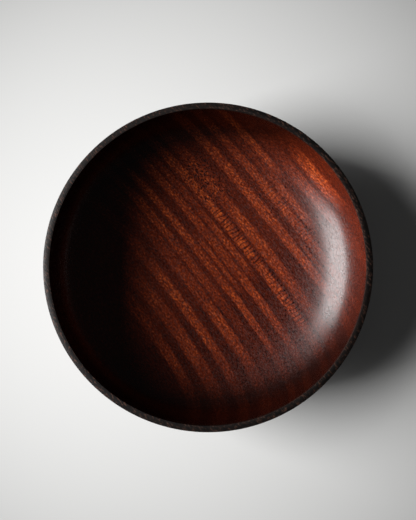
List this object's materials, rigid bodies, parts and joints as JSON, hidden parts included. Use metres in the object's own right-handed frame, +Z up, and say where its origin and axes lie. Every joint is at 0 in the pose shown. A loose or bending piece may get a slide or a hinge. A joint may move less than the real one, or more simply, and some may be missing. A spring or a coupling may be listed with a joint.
{
  "type": "turned wooden bowl",
  "caption": "Shallow round lathe-turned wooden serving bowl with a full-curved side, a narrow dark rim ring and a low dark foot ring.",
  "frame": {"origin": "centre of the foot ring's standing face, on the surface that the bowl stands on", "axes": "+Z up along the turning axis, out of the bowl's mouth; X and Y are equal because every piece is round"},
  "size_m": [0.28, 0.28, 0.067],
  "materials": {
    "figured_hardwood": "red-brown ribbon-stripe hardwood, open pores, satin hand-rubbed oil",
    "dark_hardwood": "black-brown hardwood with faint reddish-brown flecks, satin"
  },
  "bodies": {
    "root": {"bowl_body": "figured_hardwood", "rim_ring": "dark_hardwood", "foot_ring": "dark_hardwood"}
  },
  "joints": []
}
